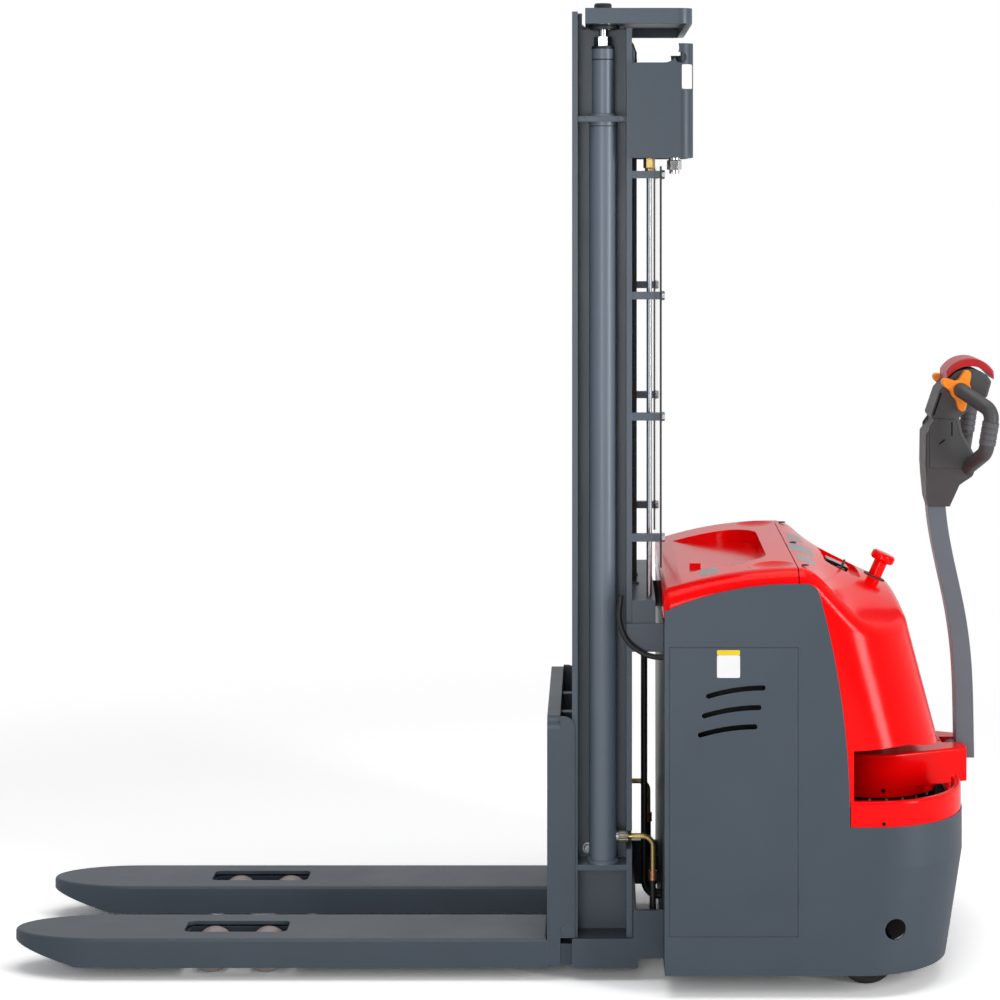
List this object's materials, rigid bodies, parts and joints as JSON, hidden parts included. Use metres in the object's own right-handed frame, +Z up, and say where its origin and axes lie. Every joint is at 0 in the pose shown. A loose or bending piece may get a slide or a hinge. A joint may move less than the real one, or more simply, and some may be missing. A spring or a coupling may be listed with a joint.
{
  "type": "electric pallet stacker",
  "caption": "Walk-behind electric pallet stacker: two-stage mast with twin lift cylinders, forks over support legs, rounded battery body and a hinged steering tiller.",
  "frame": {"origin": "on the floor, under the middle of the overall length and width", "axes": "+Z up, +X towards the tiller and the operator, forks towards -X"},
  "size_m": [2.138, 0.8, 2.084],
  "materials": {
    "body_paint": "blue-grey enamel, semi-gloss",
    "cover_red": "glossy red moulding",
    "head_red": "glossy red enamel",
    "cap_red": "glossy red cap",
    "console_plastic": "dark grey grained moulding",
    "switch_orange": "orange moulding",
    "arm_paint": "grey paint over a cast arm",
    "load_polyurethane": "beige-grey polyurethane",
    "tyre_black": "black polyurethane tread",
    "chain_steel": "oiled dark steel",
    "hose_rubber": "black rubber",
    "rod_chrome": "ground and chromed",
    "pipe_zinc": "yellow zinc plating",
    "bright_steel": "zinc-plated steel",
    "guard_clear": "clear sheet",
    "battery_black": "black battery case",
    "unit_black": "black enamel",
    "controller_alloy": "plain cast alloy",
    "gauge_black": "black display"
  },
  "bodies": {
    "chassis": {"base_frame": "body_paint", "support_leg_left": "body_paint", "support_leg_right": "body_paint", "outer_rail_left": "body_paint", "outer_rail_right": "body_paint", "outer_mast_rollers": "bright_steel", "lift_cylinder_left": "body_paint", "lift_cylinder_right": "body_paint", "cylinder_clamps": "body_paint", "mast_upper_tie": "body_paint", "mast_lower_tie": "body_paint", "mast_guard": "guard_clear", "guard_brackets": "body_paint", "riser_pipe": "bright_steel", "feed_pipes": "pipe_zinc", "supply_hoses": "hose_rubber", "body_shell": "body_paint", "side_panels": "body_paint", "drive_hood": "cover_red", "gauge": "gauge_black", "battery_pack": "battery_black", "pump_unit": "unit_black", "controller": "controller_alloy", "chain_rear": "chain_steel"},
    "inner_mast": {"inner_mast_frame": "body_paint", "crosshead": "body_paint", "lift_rods": "rod_chrome", "inner_mast_rollers": "bright_steel", "chain_wraps": "chain_steel", "chain_front": "chain_steel"},
    "sheaves": {"sheave_left": "bright_steel", "sheave_right": "bright_steel"},
    "carriage": {"carriage_frame": "body_paint", "fork_left": "body_paint", "fork_right": "body_paint", "carriage_rollers": "bright_steel"},
    "bogie_left_body": {"bogie_left": "bright_steel"},
    "bogie_right_body": {"bogie_right": "bright_steel"},
    "roller_left_front": {"load_roller_left_front": "load_polyurethane"},
    "roller_left_rear": {"load_roller_left_rear": "load_polyurethane"},
    "roller_right_front": {"load_roller_right_front": "load_polyurethane"},
    "roller_right_rear": {"load_roller_right_rear": "load_polyurethane"},
    "steering": {"drive_unit": "unit_black", "tiller_head": "head_red"},
    "drive_wheel_body": {"drive_wheel": "tyre_black"},
    "tiller": {"tiller_arm": "arm_paint", "handle_head": "console_plastic", "handle_grips": "console_plastic"},
    "butterfly_body": {"butterfly": "switch_orange"},
    "belly_body": {"belly_button": "cap_red"},
    "lift_button_body": {"lift_button": "switch_orange"},
    "lower_button_body": {"lower_button": "switch_orange"},
    "stop_body": {"emergency_stop": "cap_red"},
    "key_body": {"key": "console_plastic"},
    "cover_body": {"battery_cover": "cover_red"},
    "castor_left": {"castor_fork_left": "bright_steel"},
    "castor_right": {"castor_fork_right": "bright_steel"},
    "castor_wheel_left_body": {"castor_wheel_left": "tyre_black"},
    "castor_wheel_right_body": {"castor_wheel_right": "tyre_black"}
  },
  "joints": [
    {"name": "mast_lift", "type": "slide", "parent": "chassis", "child": "inner_mast", "axis": [0, 0, 1], "range_m": [0, 1.45], "deforming": ["chain_rear"]},
    {"name": "carriage_lift", "type": "slide", "parent": "inner_mast", "child": "carriage", "axis": [0, 0, 1], "range_m": [0, 1.45], "deforming": ["chain_front"]},
    {"name": "sheave_spin", "type": "hinge", "parent": "inner_mast", "child": "sheaves", "pos_m": [0.22, 0, 1.978], "axis": [0, 1, 0], "range_deg": [0, 1665]},
    {"name": "steer", "type": "hinge", "parent": "chassis", "child": "steering", "pos_m": [0.802, 0, 0.33], "axis": [0, 0, 1], "range_deg": [-35, 35]},
    {"name": "drive_wheel_spin", "type": "hinge", "parent": "steering", "child": "drive_wheel_body", "pos_m": [0.802, 0, 0.115], "axis": [0, 1, 0], "continuous": true},
    {"name": "tiller_pivot", "type": "hinge", "parent": "steering", "child": "tiller", "pos_m": [0.985, 0, 0.422], "axis": [0, 1, 0], "range_deg": [0, 80], "stiffness_Nm_per_rad": 40, "springref_deg": -17.19},
    {"name": "butterfly_turn", "type": "hinge", "parent": "tiller", "child": "butterfly_body", "pos_m": [0.992, 0, 1.24], "axis": [0, 1, 0], "range_deg": [-20, 20], "stiffness_Nm_per_rad": 0.6},
    {"name": "belly_press", "type": "slide", "parent": "tiller", "child": "belly_body", "axis": [0, 0, -1], "range_m": [0, 0.0035], "stiffness_N_per_m": 1200, "springref_m": -0.006},
    {"name": "lift_press", "type": "slide", "parent": "tiller", "child": "lift_button_body", "axis": [-0.5897, 0, 0.8076], "range_m": [0, 0.003], "stiffness_N_per_m": 500, "springref_m": -0.002},
    {"name": "lower_press", "type": "slide", "parent": "tiller", "child": "lower_button_body", "axis": [-0.5897, 0, 0.8076], "range_m": [0, 0.003], "stiffness_N_per_m": 500, "springref_m": -0.002},
    {"name": "stop_press", "type": "slide", "parent": "chassis", "child": "stop_body", "axis": [-0.4122, 0, -0.9111], "range_m": [0, 0.006], "stiffness_N_per_m": 1500, "springref_m": -0.004},
    {"name": "key_turn", "type": "hinge", "parent": "chassis", "child": "key_body", "pos_m": [0.73, -0.072, 0.85129], "axis": [0.4122, 0, 0.9111], "range_deg": [0, 90]},
    {"name": "cover_open", "type": "hinge", "parent": "chassis", "child": "cover_body", "pos_m": [0.342, 0, 0.834], "axis": [0, -1, 0], "range_deg": [0, 70]},
    {"name": "bogie_left_rock", "type": "hinge", "parent": "chassis", "child": "bogie_left_body", "pos_m": [-0.5845, -0.195, 0.041], "axis": [0, 1, 0], "range_deg": [-5, 5]},
    {"name": "bogie_right_rock", "type": "hinge", "parent": "chassis", "child": "bogie_right_body", "pos_m": [-0.5845, 0.195, 0.041], "axis": [0, 1, 0], "range_deg": [-5, 5]},
    {"name": "roller_left_front_spin", "type": "hinge", "parent": "bogie_left_body", "child": "roller_left_front", "pos_m": [-0.643, -0.195, 0.041], "axis": [0, 1, 0], "continuous": true},
    {"name": "roller_left_rear_spin", "type": "hinge", "parent": "bogie_left_body", "child": "roller_left_rear", "pos_m": [-0.526, -0.195, 0.041], "axis": [0, 1, 0], "continuous": true},
    {"name": "roller_right_front_spin", "type": "hinge", "parent": "bogie_right_body", "child": "roller_right_front", "pos_m": [-0.643, 0.195, 0.041], "axis": [0, 1, 0], "continuous": true},
    {"name": "roller_right_rear_spin", "type": "hinge", "parent": "bogie_right_body", "child": "roller_right_rear", "pos_m": [-0.526, 0.195, 0.041], "axis": [0, 1, 0], "continuous": true},
    {"name": "castor_left_swivel", "type": "hinge", "parent": "chassis", "child": "castor_left", "pos_m": [0.79, -0.28, 0.18], "axis": [0, 0, 1], "continuous": true},
    {"name": "castor_wheel_left_spin", "type": "hinge", "parent": "castor_left", "child": "castor_wheel_left_body", "pos_m": [0.76, -0.28, 0.0625], "axis": [0, 1, 0], "continuous": true},
    {"name": "castor_right_swivel", "type": "hinge", "parent": "chassis", "child": "castor_right", "pos_m": [0.79, 0.28, 0.18], "axis": [0, 0, 1], "continuous": true},
    {"name": "castor_wheel_right_spin", "type": "hinge", "parent": "castor_right", "child": "castor_wheel_right_body", "pos_m": [0.76, 0.28, 0.0625], "axis": [0, 1, 0], "continuous": true}
  ],
  "couplings": [
    {"joint": "carriage_lift", "follows": "mast_lift", "ratio": 1},
    {"joint": "sheave_spin", "follows": "mast_lift", "rad_per_m": 20}
  ]
}
